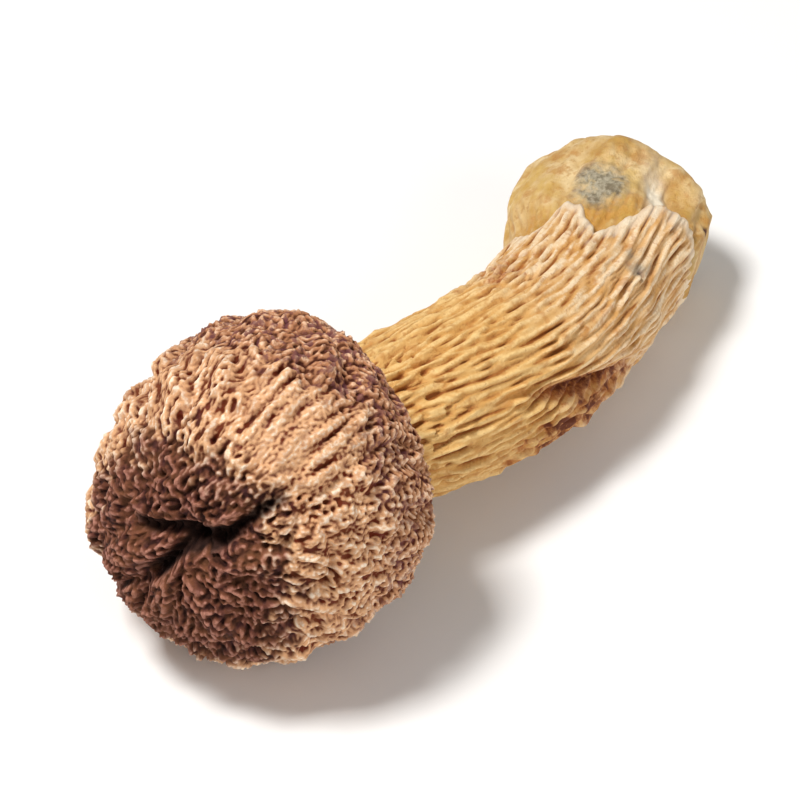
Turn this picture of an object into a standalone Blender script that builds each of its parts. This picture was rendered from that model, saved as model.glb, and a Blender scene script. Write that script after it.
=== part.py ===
"""A dried almond mushroom, lying on its side on a flat surface.

The mushroom grew as one piece, so it is one closed solid. Its half section runs from the crown of the
cap, round the rolled-in rim, over the bed of gills, down the stem and round the foot. The section is
turned round the mushroom's own axis, and each of its points is then moved by formulas: the sunken crown
with its three creases, the wrinkles of the skin, the gills, the ribs of the stem and the torn edge where
the ribbed skin ends above the smooth foot. Last, the axis is bent, and what would lie below the surface
is pressed flat, which gives the two patches on which the mushroom rests.

Lengths are in metres. +X runs from the crown to the foot, +Z is up, and the origin is on the surface,
below the middle of the mushroom.
"""

import math

import bmesh
import bpy
from mathutils import Vector, noise

MM = 0.001

# Cap
CAP_RADIUS = 17.9 * MM
CROWN_HEIGHT = 16.4 * MM
CHEEK_HEIGHT = 11.0 * MM
CAP_HEIGHT = CROWN_HEIGHT + CHEEK_HEIGHT
RIM_RADIUS = 15.6 * MM
LIP_RADIUS = 1.3 * MM
GILL_BED_HEIGHT = 7.0 * MM
PIT_DEPTH = 2.8 * MM
PIT_RADIUS = 2.0 * MM
PIT_CENTRE = (-3.3 * MM, 2.0 * MM)
CREASE_DEPTH = 2.8 * MM
CREASE_WIDTH = 1.05 * MM
CREASE_LENGTH = 13.0 * MM
CREASE_BEND = 0.5 * MM
CREASE_ANGLES = [math.radians(degrees) for degrees in (-4, -42, 140)]
KNUCKLE_HEIGHT = 1.3 * MM
KNUCKLE_ANGLE = math.radians(-22)
LOBE_HEIGHT = 0.45 * MM

# Stem and foot
NECK_RADIUS = 8.3 * MM
BELLY_RADIUS = 9.7 * MM
WAIST_RADIUS = 9.9 * MM
FOOT_RADIUS = 11.6 * MM
BELLY_START = 29.0 * MM
BELLY_LENGTH = 14.0 * MM
WAIST_START = 58.0 * MM
WAIST_LENGTH = 14.0 * MM
SKIN_EDGE = 75.5 * MM
FOOT_MIDDLE = 85.0 * MM
LENGTH = 95.0 * MM
BLUNTNESS = 4.2
EDGE_STEP = 1.0 * MM
EDGE_WAVE = 1.3 * MM
EDGE_SLANT = 5.0 * MM
EDGE_FURTHEST = math.radians(190)

# The foot was trimmed at a slant: the way the cut faces, and its distance from the foot's middle
CUT_FACES = (0.42, -0.86, -0.1)
CUT_DISTANCE = 11.2 * MM
CUT_FLATNESS = 0.85

# The dried cap is a little higher than it is wide, the stem a little wider than it is high.
CAP_SQUASH = (0.96, 1.04)
STEM_SQUASH = (1.04, 0.95)

# Relief, larger than life, so that it shows with few faces
WRINKLE_SIZE = 4.8 * MM
WRINKLE_DEPTH = 1.4 * MM
GROOVE_WIDTH = 0.36
WARP_SIZE = 2.2 * WRINKLE_SIZE
WARP_SHIFTS = [Vector(shift) for shift in ((0, 0, 0), (7.3, 1.9, 4.1), (2.8, 9.6, 5.7))]
RIB_COUNT = 17
RIB_HEIGHT = 0.65 * MM
GILL_HEIGHT = 0.85 * MM
FOLD_DEPTH = 2.4 * MM
FOLD_WIDTH = math.radians(9)
FOLD_ANGLE = math.radians(176)
FOLD_TWIST = math.radians(2.4) / MM
FOLD_MIDDLE = 58.0 * MM
FOLD_LENGTH = 8.0 * MM

# Axis: where the crown is, and which way the axis heads and falls, in degrees, at distances in
# millimetres from the crown. The cap nods, and the foot is set off to the far side.
CROWN = (-45.4 * MM, -3.6 * MM, 22.6 * MM)
HEADINGS = ((0, 10), (17, 9), (35, -9), (52, -4), (66, 14), (78, 27), (92, 18))
SLOPES = ((0, -16), (17, -16), (38, -6.3), (96, -6.3))
AXIS_STEP = 0.5 * MM

# Faces round each ring. Every second one is the edge of a gill.
AROUND = 90
DOME_RINGS = 17
CHEEK_RINGS = 8
LIP_RINGS = 4
GILL_RINGS = 6
STEM_RINGS = 21
FOOT_RINGS = 9

ZONES = ("cap", "gills", "stem", "foot")
FINISHES = {
    "cap": ("dried cap skin", (0.24, 0.115, 0.06)),
    "gills": ("dried gills", (0.075, 0.03, 0.016)),
    "stem": ("dried stem", (0.62, 0.38, 0.16)),
    "foot": ("dried foot", (0.63, 0.42, 0.20)),
}


def smooth(share):
    """0 below 0, 1 above 1, and an even S curve between them."""
    share = min(1.0, max(0.0, share))
    return share * share * (3 - 2 * share)


def bump(distance, width):
    """A rounded bump, 1 at distance 0 and fading over the width."""
    return math.exp(-((distance / width) ** 2))


def between(start, end, share):
    return start + (end - start) * share


def turn_from(angle, other):
    """The signed angle from other to angle, between minus and plus half a turn."""
    return (angle - other + math.pi) % (2 * math.pi) - math.pi


# Half section, as rings of (zone, radius, distance along the axis)


def stem_radius(along):
    """The stem's radius: narrow under the cap, a full belly, a slight waist and the swollen foot."""
    belly = smooth((along - BELLY_START) / BELLY_LENGTH)
    waist = smooth((along - WAIST_START) / WAIST_LENGTH)
    foot = smooth((along - SKIN_EDGE + 3 * MM) / (FOOT_MIDDLE - SKIN_EDGE))
    radius = between(NECK_RADIUS, BELLY_RADIUS, belly)
    radius = between(radius, WAIST_RADIUS, waist)
    return between(radius, FOOT_RADIUS, foot)


def dome_rings():
    for ring in range(1, DOME_RINGS + 1):
        turn = math.pi / 2 * ring / DOME_RINGS
        yield "cap", CAP_RADIUS * math.sin(turn), CROWN_HEIGHT * (1 - math.cos(turn))


def cheek_rings():
    for ring in range(1, CHEEK_RINGS + 1):
        turn = math.pi / 2 * ring / CHEEK_RINGS
        inward = (CAP_RADIUS - RIM_RADIUS) * (1 - math.cos(turn))
        yield "cap", CAP_RADIUS - inward, CROWN_HEIGHT + CHEEK_HEIGHT * math.sin(turn)


def lip_rings():
    """The rim rolls inwards over half a circle."""
    for ring in range(1, LIP_RINGS + 1):
        turn = math.pi * ring / LIP_RINGS
        radius = RIM_RADIUS - LIP_RADIUS * (1 - math.cos(turn))
        yield "cap", radius, CAP_HEIGHT + LIP_RADIUS * math.sin(turn)


def gill_rings():
    """The gill bed rises from the rolled rim into the cap, then meets the stem."""
    outer = RIM_RADIUS - 2 * LIP_RADIUS
    for ring in range(1, GILL_RINGS + 1):
        share = ring / (GILL_RINGS + 1)
        radius = between(outer, NECK_RADIUS, share)
        yield "gills", radius, CAP_HEIGHT - GILL_BED_HEIGHT * math.sin(math.pi / 2 * share)


def stem_rings():
    start = CAP_HEIGHT - GILL_BED_HEIGHT
    for ring in range(STEM_RINGS):
        along = between(start, SKIN_EDGE, ring / STEM_RINGS)
        yield "stem", stem_radius(along), along


def foot_rings():
    """Half an ellipse closes the foot."""
    for ring in range(FOOT_RINGS):
        share = ring / FOOT_RINGS
        along = between(SKIN_EDGE, LENGTH, math.sin(math.pi / 2 * share))
        past_middle = max(0.0, along - FOOT_MIDDLE) / (LENGTH - FOOT_MIDDLE)
        yield "foot", stem_radius(along) * (1 - past_middle**BLUNTNESS) ** 0.5, along


def section():
    rings = []
    for stretch in (dome_rings, cheek_rings, lip_rings, gill_rings, stem_rings, foot_rings):
        rings.extend(stretch())
    return rings


# Relief: how far a point moves out along the section's normal


def sunken_crown(angle, radius):
    """The pit in the crown and the three creases that run into it."""
    reach = Vector((radius * math.cos(angle), radius * math.sin(angle))) - Vector(PIT_CENTRE)
    depth = PIT_DEPTH * bump(reach.length, PIT_RADIUS)
    for crease in CREASE_ANGLES:
        way = Vector((math.cos(crease), math.sin(crease)))
        ahead = reach.dot(way)
        aside = reach.cross(way) + CREASE_BEND * math.sin(ahead / (1.6 * MM))
        fade = smooth(ahead / (2 * MM)) * (1 - smooth(2 * ahead / CREASE_LENGTH - 1))
        depth += CREASE_DEPTH * fade * bump(aside, CREASE_WIDTH)
    return -depth


def cap_lumps(angle, along):
    """The cap's uneven outline: slow swellings round it, one of them a broad knuckle on its left."""
    height = along / CAP_HEIGHT
    swell = LOBE_HEIGHT * (math.cos(2 * angle + 2.4) + 0.7 * math.cos(3 * angle + 0.5 + 2 * height))
    knuckle = KNUCKLE_HEIGHT * bump(turn_from(angle, KNUCKLE_ANGLE), 0.35) * bump(height - 0.5, 0.3)
    return smooth(height * 4) * swell + knuckle


def grooves(point):
    """1 along a net of narrow grooves, 0 on the ridges between them."""
    warp = Vector([noise.noise(point / WARP_SIZE + shift) for shift in WARP_SHIFTS])
    return 1 - smooth(abs(noise.noise(point / WRINKLE_SIZE + warp * 0.6)) / GROOVE_WIDTH)


def cap_relief(angle, radius, along):
    height = along / CAP_HEIGHT
    point = Vector((radius * math.cos(angle), radius * math.sin(angle), along * 0.8))
    fade = smooth(radius / (2.5 * MM)) * (1 - 0.75 * smooth((height - 0.9) / 0.15))
    relief = -WRINKLE_DEPTH * (grooves(point) - 0.4) * fade
    return relief + sunken_crown(angle, radius) * (1 - smooth(height * 2)) + cap_lumps(angle, along)


def gill_relief(ring, around):
    """Every second point stands out, which makes the edge of a gill."""
    way_in = math.sin(math.pi * (ring + 1) / (GILL_RINGS + 1))
    return GILL_HEIGHT * way_in * (1 if around % 2 else -1)


def stem_ribs(angle, along):
    """Ribs that run down the stem, wander a little and join where two come close."""
    wander = 0.5 * math.sin(along / (9 * MM) + 2 * angle) + 0.35 * math.sin(along / (4.3 * MM) - angle)
    join = 0.5 * math.sin(RIB_COUNT / 3 * angle + along / (13 * MM))
    rib = math.cos(RIB_COUNT * angle + 1.4 * wander + 1.6 * join)
    strength = 0.75 + 0.25 * math.sin(3 * angle + along / (11 * MM))
    return RIB_HEIGHT * strength * (1 - abs(rib) * 1.6)


def stem_fold(angle, along):
    """The deep fold low on the stem's near side."""
    line = FOLD_ANGLE + FOLD_TWIST * (along - FOLD_MIDDLE)
    return -FOLD_DEPTH * bump(turn_from(angle, line), FOLD_WIDTH) * bump(along - FOLD_MIDDLE, FOLD_LENGTH)


def skin_edge(angle):
    """Where the ribbed skin ends, torn unevenly, above the smooth foot."""
    wave = math.sin(3 * angle + 0.7) + 0.5 * math.sin(7 * angle - 1.0) + 0.3 * math.sin(11 * angle)
    return SKIN_EDGE + EDGE_SLANT * math.cos(angle - EDGE_FURTHEST) + EDGE_WAVE * wave


def stem_relief(angle, along):
    fade_in = smooth((along - CAP_HEIGHT + GILL_BED_HEIGHT) / (6 * MM))
    under_skin = smooth((skin_edge(angle) - along) / (1.6 * MM) + 0.5)
    ribs = stem_ribs(angle, along) * fade_in * (0.25 + 0.75 * under_skin)
    return ribs + EDGE_STEP * (under_skin - 1) + stem_fold(angle, along) * under_skin


def foot_relief(angle, along):
    """Two blunt folds and a shallow hollow on the foot."""
    share = smooth((along - SKIN_EDGE) / (4 * MM))
    folds = 0.9 * MM * math.cos(2 * angle - 0.5) + 0.6 * MM * math.cos(5 * angle + along / (5 * MM))
    hollow = -1.3 * MM * bump(turn_from(angle, 2.2), 0.5) * bump(along - FOOT_MIDDLE, 4 * MM)
    closing = 1 - smooth((along - LENGTH + 6 * MM) / (6 * MM))
    return stem_relief(angle, along) * closing + share * closing * (0.7 * folds + hollow)


# Axis


def between_stops(stops, along):
    """The value at this distance from a row of (distance, value) stops, eased from stop to stop."""
    for (start, first), (end, last) in zip(stops, stops[1:]):
        if along < end * MM:
            return between(first, last, smooth((along / MM - start) / (end - start)))
    return stops[-1][1]


def axis_direction(along):
    heading = math.radians(between_stops(HEADINGS, along))
    slope = math.radians(between_stops(SLOPES, along))
    flat = math.cos(slope)
    return Vector((flat * math.cos(heading), flat * math.sin(heading), math.sin(slope)))


def axis_points():
    """Points of the axis, a step apart, from a little before the crown to past the foot."""
    points = [Vector(CROWN)]
    for step in range(int(LENGTH / AXIS_STEP) + 6):
        points.append(points[-1] + axis_direction(step * AXIS_STEP) * AXIS_STEP)
    return points


AXIS = axis_points()


def placed(along, angle, radius, squash):
    """The point at this angle and radius round the bent axis."""
    step = min(max(0, int(along / AXIS_STEP)), len(AXIS) - 2)
    middle = AXIS[step].lerp(AXIS[step + 1], along / AXIS_STEP - step)
    ahead = axis_direction(along)
    side = Vector((0, 0, 1)).cross(ahead).normalized()
    up = ahead.cross(side)
    wide, high = squash
    return middle + side * (radius * wide * math.cos(angle)) + up * (radius * high * math.sin(angle))


def squash_at(along):
    share = smooth((along - CROWN_HEIGHT) / (14 * MM))
    return [between(cap, stem, share) for cap, stem in zip(CAP_SQUASH, STEM_SQUASH)]


# Mesh


def section_normal(rings, index):
    """The direction out of the flesh, as (radius, along), from the rings on either side."""
    before = rings[max(0, index - 1)]
    after = rings[min(len(rings) - 1, index + 1)]
    run = Vector((after[1] - before[1], after[2] - before[2])).normalized()
    return Vector((run.y, -run.x))


def ring_points(rings, index, first_gill):
    zone, radius, along = rings[index]
    normal = section_normal(rings, index)
    points = []
    for around in range(AROUND):
        angle = 2 * math.pi * around / AROUND
        if zone == "cap":
            out = cap_relief(angle, radius, along)
        elif zone == "gills":
            out = gill_relief(index - first_gill, around)
        elif zone == "stem":
            out = stem_relief(angle, along)
        else:
            out = foot_relief(angle, along)
        moved = Vector((radius, along)) + normal * out
        points.append(placed(moved.y, angle, moved.x, squash_at(along)))
    return points


def mushroom_mesh():
    rings = section()
    first_gill = [ring[0] for ring in rings].index("gills")
    mesh = bmesh.new()
    crown = mesh.verts.new(placed(-sunken_crown(0, 0), 0, 0, CAP_SQUASH))
    loops = []
    for index in range(len(rings)):
        loops.append([mesh.verts.new(point) for point in ring_points(rings, index, first_gill)])
    end = mesh.verts.new(placed(LENGTH, 0, 0, STEM_SQUASH))
    for around in range(AROUND):
        after = (around + 1) % AROUND
        mesh.faces.new((crown, loops[0][around], loops[0][after]))
        for (zone, _, _), near, far in zip(rings[1:], loops, loops[1:]):
            face = mesh.faces.new((near[around], far[around], far[after], near[after]))
            face.material_index = ZONES.index(zone)
        mesh.faces.new((loops[-1][around], end, loops[-1][after])).material_index = ZONES.index("foot")
    trim_foot(mesh)
    press_flat(mesh)
    centre_over_origin(mesh)
    bmesh.ops.recalc_face_normals(mesh, faces=mesh.faces)
    return mesh


def trim_foot(mesh):
    """The slanting cut: what lies past its plane is moved back, nearly up to it."""
    faces = Vector(CUT_FACES).normalized()
    through = AXIS[int(FOOT_MIDDLE / AXIS_STEP)] + faces * CUT_DISTANCE
    for vert in mesh.verts:
        past = max(0.0, (vert.co - through).dot(faces))
        vert.co -= faces * past * CUT_FLATNESS


def press_flat(mesh):
    """What would lie below the surface is pressed up to it."""
    for vert in mesh.verts:
        vert.co.z = max(0.0, vert.co.z)


def centre_over_origin(mesh):
    low = Vector([min(vert.co[axis] for vert in mesh.verts) for axis in range(3)])
    high = Vector([max(vert.co[axis] for vert in mesh.verts) for axis in range(3)])
    middle = (low + high) / 2
    bmesh.ops.translate(mesh, verts=mesh.verts, vec=(-middle.x, -middle.y, 0))


def finish(name, colour):
    material = bpy.data.materials.new(name)
    material.use_nodes = True
    shader = material.node_tree.nodes["Principled BSDF"]
    shader.inputs["Base Color"].default_value = (*colour, 1)
    shader.inputs["Roughness"].default_value = 0.85
    shader.inputs["Metallic"].default_value = 0
    return material


def main():
    for old in list(bpy.data.objects):
        bpy.data.objects.remove(old)
    mesh = mushroom_mesh()
    data = bpy.data.meshes.new("almond_mushroom")
    mesh.to_mesh(data)
    mesh.free()
    for zone in ZONES:
        data.materials.append(finish(*FINISHES[zone]))
    data.shade_smooth()
    data.set_sharp_from_angle(angle=math.radians(50))
    bpy.context.collection.objects.link(bpy.data.objects.new("almond_mushroom", data))


main()
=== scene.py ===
"""The looks of a dried almond mushroom that lies on its side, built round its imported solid.

The cap skin, the gills, the ribbed stem skin and the foot are closed meshes sunk into each other. They
follow the same half section, the same bent axis and the same large relief as the solid that they stand
for. The wrinkles are grown on them: a field of random values is sharpened again and again at one
wavelength, until it settles into ridges and grooves, as skin does when the flesh under it dries.

Lengths are in metres. +X runs from the crown to the foot, and +Z is up.
"""

import logging
import math
from dataclasses import dataclass
from enum import Enum
from typing import Any, Iterable, Sequence

import bpy
import numpy as np
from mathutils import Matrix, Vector, noise


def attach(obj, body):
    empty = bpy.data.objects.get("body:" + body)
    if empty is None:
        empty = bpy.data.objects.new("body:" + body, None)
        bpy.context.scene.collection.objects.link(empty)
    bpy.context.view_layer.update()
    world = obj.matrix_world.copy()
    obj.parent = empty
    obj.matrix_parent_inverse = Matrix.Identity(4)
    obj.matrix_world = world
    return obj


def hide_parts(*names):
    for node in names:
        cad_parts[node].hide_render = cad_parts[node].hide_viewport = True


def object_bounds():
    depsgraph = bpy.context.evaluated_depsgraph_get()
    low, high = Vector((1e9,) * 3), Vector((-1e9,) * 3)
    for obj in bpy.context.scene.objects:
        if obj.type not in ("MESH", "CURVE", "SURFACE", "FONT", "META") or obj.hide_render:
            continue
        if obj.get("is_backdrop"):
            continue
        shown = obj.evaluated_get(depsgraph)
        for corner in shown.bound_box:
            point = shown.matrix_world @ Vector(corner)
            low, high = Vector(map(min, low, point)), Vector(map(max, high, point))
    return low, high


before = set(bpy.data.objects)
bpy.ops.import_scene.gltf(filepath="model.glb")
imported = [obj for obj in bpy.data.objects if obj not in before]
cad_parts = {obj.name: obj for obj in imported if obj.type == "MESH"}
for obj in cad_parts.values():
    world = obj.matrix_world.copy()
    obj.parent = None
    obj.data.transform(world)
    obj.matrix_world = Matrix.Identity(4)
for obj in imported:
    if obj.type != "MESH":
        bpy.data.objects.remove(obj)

Array = np.ndarray
Object = bpy.types.Object
Socket = bpy.types.NodeSocket
Tree = bpy.types.NodeTree

MM = 0.001
NODE = "almond_mushroom"
BODY = "root"

log = logging.getLogger(NODE)


class Value(Enum):
    """What the points of a piece carry for its finish to read."""

    RELIEF = "relief"  # -1 in a groove, 1 on a ridge; the groove colour is partly painted shade, the ridge colour partly painted highlight
    SKIN = "skin"  # the dark skin of the crown
    MARGIN = "margin"  # the mauve skin towards the rim
    PIT_AND_CREASE_SHADE = "hollow"  # painted shade in the pit and its creases
    CREAM = "cream"  # the paler half of the stem
    FOLD = "fold"  # the reddish fold and the hole low on the stem, darkened partly as painted shade, and the scorched skin
    EDGE = "edge"  # the torn edge of the stem skin
    PATCH = "patch"  # the soil stain on the foot
    HOLE = "hole"  # small holes in the cut face, painted dark brown as the shade inside them
    CUT = "cut"  # the slantingly cut face of the foot


# Curves and noise


def smooth(share: Any) -> Any:
    """0 below 0, 1 above 1, and an even S curve between them."""
    share = np.clip(share, 0.0, 1.0)
    return share * share * (3 - 2 * share)


def bump(distance: Any, width: float) -> Any:
    """A rounded bump, 1 at distance 0 and fading over the width."""
    return np.exp(-((distance / width) ** 2))


def between(start: Any, end: Any, share: Any) -> Any:
    """The value this share of the way from start to end."""
    return start + (end - start) * share


def turn_from(angle: Any, other: Any) -> Any:
    """The signed angle from other to angle, between minus and plus half a turn."""
    return (angle - other + math.pi) % (2 * math.pi) - math.pi


def around(columns: int) -> Array:
    """Even angles all the way round, in a row."""
    return (np.arange(columns) * 2 * math.pi / columns)[None, :]


def cloud(points: Array, size: float, shift: Sequence[float] = (0, 0, 0)) -> Array:
    """Even noise between about -1 and 1, one value for each point.

    Args:
        points: points in metres, in an array whose last axis is x, y, z.
        size: the size of the noise's patches, in metres.
        shift: moves the noise, in patches, so that two shifts give unrelated noise.

    Returns:
        An array of the points' shape without its last axis.
    """
    flat = (points / size + np.array(shift, float)).reshape(-1, 3)
    values = np.fromiter((noise.noise(Vector(point)) for point in flat), float, len(flat))
    return values.reshape(points.shape[:-1])


@dataclass(frozen=True)
class Spot:
    """A round spot on the stem or the foot, such as a hole or a stain."""

    degrees: float
    along: float
    radius: float
    squeeze: float = 1.0

    def share(self, turn: Array, along: Array, girth: float) -> Array:
        """How much of the spot each point has.

        Args:
            turn: angles round the axis.
            along: distances from the crown.
            girth: the radius of the stem or the foot there.

        Returns:
            1 in the spot's middle, fading over its radius.
        """
        aside = turn_from(turn, math.radians(self.degrees)) * girth
        return bump(np.hypot(aside, (along - self.along) * self.squeeze), self.radius)


# The large form


@dataclass(frozen=True)
class Form:
    """The mushroom's large form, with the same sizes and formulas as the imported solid."""

    cap_radius: float = 17.9 * MM
    crown_height: float = 16.4 * MM
    cheek_height: float = 11.0 * MM
    rim_radius: float = 15.6 * MM
    lip_radius: float = 1.3 * MM
    gill_bed_height: float = 7.0 * MM
    pit_depth: float = 2.8 * MM
    pit_radius: float = 2.0 * MM
    pit_centre: tuple[float, float] = (-3.3 * MM, 2.0 * MM)
    crease_depth: float = 2.8 * MM
    crease_width: float = 1.05 * MM
    crease_length: float = 13.0 * MM
    crease_bend: float = 0.5 * MM
    crease_wave: float = 1.6 * MM
    crease_start: float = 2.0 * MM
    crease_degrees: tuple[float, ...] = (-4, -42, 140)
    knuckle_height: float = 1.3 * MM
    knuckle_degrees: float = -22
    lobe_height: float = 0.45 * MM
    wrinkle_size: float = 4.8 * MM
    groove_width: float = 0.36
    warp_shifts: tuple[tuple[float, ...], ...] = ((0, 0, 0), (7.3, 1.9, 4.1), (2.8, 9.6, 5.7))

    neck_radius: float = 8.3 * MM
    belly_radius: float = 9.7 * MM
    waist_radius: float = 9.9 * MM
    foot_radius: float = 11.6 * MM
    belly_start: float = 29.0 * MM
    belly_length: float = 14.0 * MM
    waist_start: float = 58.0 * MM
    waist_length: float = 14.0 * MM
    skin_edge: float = 75.5 * MM
    foot_middle: float = 85.0 * MM
    length: float = 95.0 * MM
    bluntness: float = 4.2
    foot_lead: float = 3.0 * MM
    foot_fold_heights: tuple[float, float] = (0.9 * MM, 0.6 * MM)
    foot_hollow_depth: float = 1.3 * MM
    edge_step: float = 1.0 * MM
    edge_wave: float = 1.3 * MM
    edge_slant: float = 5.0 * MM
    edge_furthest_degrees: float = 190
    rib_count: int = 17
    fold_depth: float = 2.4 * MM
    fold_width_degrees: float = 9
    fold_degrees: float = 176
    fold_twist_degrees: float = 2.4
    fold_middle: float = 58.0 * MM
    fold_length: float = 8.0 * MM

    cut_faces: tuple[float, float, float] = (0.42, -0.86, -0.1)
    cut_distance: float = 11.2 * MM
    cut_flatness: float = 0.85
    cap_squash: tuple[float, float] = (0.96, 1.04)
    stem_squash: tuple[float, float] = (1.04, 0.95)
    squash_run: float = 14.0 * MM

    crown: tuple[float, float, float] = (-45.4 * MM, -3.6 * MM, 22.6 * MM)
    headings: tuple[tuple[float, float], ...] = (
        (0, 10),
        (17, 9),
        (35, -9),
        (52, -4),
        (66, 14),
        (78, 27),
        (92, 18),
    )
    slopes: tuple[tuple[float, float], ...] = ((0, -16), (17, -16), (38, -6.3), (96, -6.3))
    axis_step: float = 0.5 * MM
    # The solid is centred over the origin once it is made. This is how far it is moved for that.
    centring: tuple[float, float] = (0.0497 * MM, -0.0784 * MM)

    @property
    def cap_height(self) -> float:
        """The height of the cap from its crown to the middle of its rolled rim."""
        return self.crown_height + self.cheek_height

    def at_stops(self, stops: Sequence[tuple[float, float]], along: Array) -> Array:
        """The value at each distance along the axis, eased from stop to stop.

        Args:
            stops: pairs of a distance in millimetres and a value.
            along: distances from the crown, in metres.

        Returns:
            A value for each distance.
        """
        starts = np.array([stop[0] for stop in stops]) * MM
        values = np.array([stop[1] for stop in stops], float)
        left = np.clip(np.searchsorted(starts, along, side="right") - 1, 0, len(stops) - 2)
        share = smooth((along - starts[left]) / (starts[left + 1] - starts[left]))
        return between(values[left], values[left + 1], share)

    def direction(self, along: Array) -> Array:
        """The way the axis runs.

        Args:
            along: distances from the crown, in metres.

        Returns:
            A unit vector for each distance.
        """
        heading = np.radians(self.at_stops(self.headings, along))
        slope = np.radians(self.at_stops(self.slopes, along))
        flat = np.cos(slope)
        return np.stack([flat * np.cos(heading), flat * np.sin(heading), np.sin(slope)], axis=-1)

    def axis_points(self) -> Array:
        """Points of the axis, a step apart.

        Returns:
            The points, from the crown to past the foot.
        """
        runs = self.direction(np.arange(int(self.length / self.axis_step) + 6) * self.axis_step)
        steps = np.cumsum(runs * self.axis_step, axis=0)
        return np.array(self.crown) + np.concatenate([np.zeros((1, 3)), steps])

    def crosswise(self, along: Array) -> tuple[Array, Array]:
        """The two directions across the axis.

        Args:
            along: distances from the crown, in metres.

        Returns:
            The directions of angle 0, sideways, and of a quarter turn, upwards.
        """
        ahead = self.direction(along)
        side = np.stack([-ahead[..., 1], ahead[..., 0], np.zeros_like(along)], axis=-1)
        side /= np.linalg.norm(side, axis=-1, keepdims=True)
        return side, np.cross(ahead, side)

    def on_axis(self, along: Array) -> Array:
        """Points of the axis, before the mushroom is centred over the origin.

        Args:
            along: distances from the crown, in metres.

        Returns:
            A point for each distance.
        """
        points = self.axis_points()
        step = np.clip((along / self.axis_step).astype(int), 0, len(points) - 2)
        return between(points[step], points[step + 1], (along / self.axis_step - step)[..., None])

    @property
    def lip(self) -> float:
        """The radius at the inside of the rolled rim."""
        return self.rim_radius - 2 * self.lip_radius

    def squash(self, along: Array) -> tuple[Array, ...]:
        """How far the section is stretched sideways and upwards, from the cap's way to the stem's."""
        share = smooth((along - self.crown_height) / self.squash_run)
        return tuple(between(*ends, share) for ends in zip(self.cap_squash, self.stem_squash))

    def place(self, along: Array | float, angle: Array | float, radius: Array | float) -> Array:
        """Points round the bent axis, trimmed at the foot and pressed flat where the mushroom rests.

        Args:
            along: distances from the crown along the axis.
            angle: angles round the axis, 0 towards +Y and a quarter turn upwards.
            radius: distances from the axis, before the section is squashed.

        Returns:
            The points, with x, y, z on a new last axis.
        """
        along, angle, radius = np.broadcast_arrays(along, angle, radius)
        side, up = self.crosswise(along)
        wide, high = self.squash(along)
        placed = self.on_axis(along) + side * (radius * wide * np.cos(angle))[..., None]
        placed = self.trimmed(placed + up * (radius * high * np.sin(angle))[..., None])
        placed[..., 2] = np.maximum(0.0, placed[..., 2])
        placed[..., :2] += self.centring
        return placed

    def poles(self, *along: float) -> Array:
        """Points of the axis at these distances from the crown, which close the ends of a piece."""
        return self.place(np.array(along), 0.0, 0.0)

    @property
    def cut_normal(self) -> Array:
        """The way that the cut face of the foot looks."""
        return np.array(self.cut_faces) / np.linalg.norm(self.cut_faces)

    def past_cut(self, placed: Array) -> Array:
        """How far points lie past the slanting cut of the foot, below zero before it."""
        through = self.axis_points()[int(self.foot_middle / self.axis_step)]
        return (placed - through) @ self.cut_normal - self.cut_distance

    def trimmed(self, placed: Array) -> Array:
        """Points past the slanting cut, moved back nearly up to it."""
        beyond = np.maximum(0.0, self.past_cut(placed)) * self.cut_flatness
        return placed - self.cut_normal * beyond[..., None]

    def stem_radius(self, along: Array) -> Array:
        """The stem's radius: narrow under the cap, a full belly, a slight waist and the swollen foot.

        Args:
            along: distances from the crown, in metres.

        Returns:
            A radius for each distance, down to 0 at the end of the foot.
        """
        belly = smooth((along - self.belly_start) / self.belly_length)
        waist = smooth((along - self.waist_start) / self.waist_length)
        foot = smooth((along - self.skin_edge + self.foot_lead) / (self.foot_middle - self.skin_edge))
        radius = between(self.neck_radius, self.belly_radius, belly)
        radius = between(radius, self.waist_radius, waist)
        radius = between(radius, self.foot_radius, foot)
        past_middle = np.clip((along - self.foot_middle) / (self.length - self.foot_middle), 0, 1)
        return radius * (1 - past_middle**self.bluntness) ** 0.5

    def sunken_crown(self, angle: Array, radius: Array) -> Array:
        """The depth of the pit in the crown and of the three creases that run into it.

        Args:
            angle: angles round the axis.
            radius: distances from the axis.

        Returns:
            A depth for each point.
        """
        across = radius * np.cos(angle) - self.pit_centre[0]
        up = radius * np.sin(angle) - self.pit_centre[1]
        depth = self.pit_depth * bump(np.hypot(across, up), self.pit_radius)
        for degrees in self.crease_degrees:
            way = math.cos(math.radians(degrees)), math.sin(math.radians(degrees))
            ahead = across * way[0] + up * way[1]
            aside = across * way[1] - up * way[0] + self.crease_bend * np.sin(ahead / self.crease_wave)
            fade = smooth(ahead / self.crease_start) * (1 - smooth(2 * ahead / self.crease_length - 1))
            depth = depth + self.crease_depth * fade * bump(aside, self.crease_width)
        return depth

    def cap_lumps(self, angle: Array, along: Array) -> Array:
        """The cap's uneven outline: slow swellings round it, one of them a broad knuckle.

        Args:
            angle: angles round the axis.
            along: distances from the crown.

        Returns:
            How far out each point is moved.
        """
        height = along / self.cap_height
        swell = np.cos(2 * angle + 2.4) + 0.7 * np.cos(3 * angle + 0.5 + 2 * height)
        from_knuckle = turn_from(angle, math.radians(self.knuckle_degrees))
        knuckle = self.knuckle_height * bump(from_knuckle, 0.35) * bump(height - 0.5, 0.3)
        return smooth(height * 4) * self.lobe_height * swell + knuckle

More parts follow.
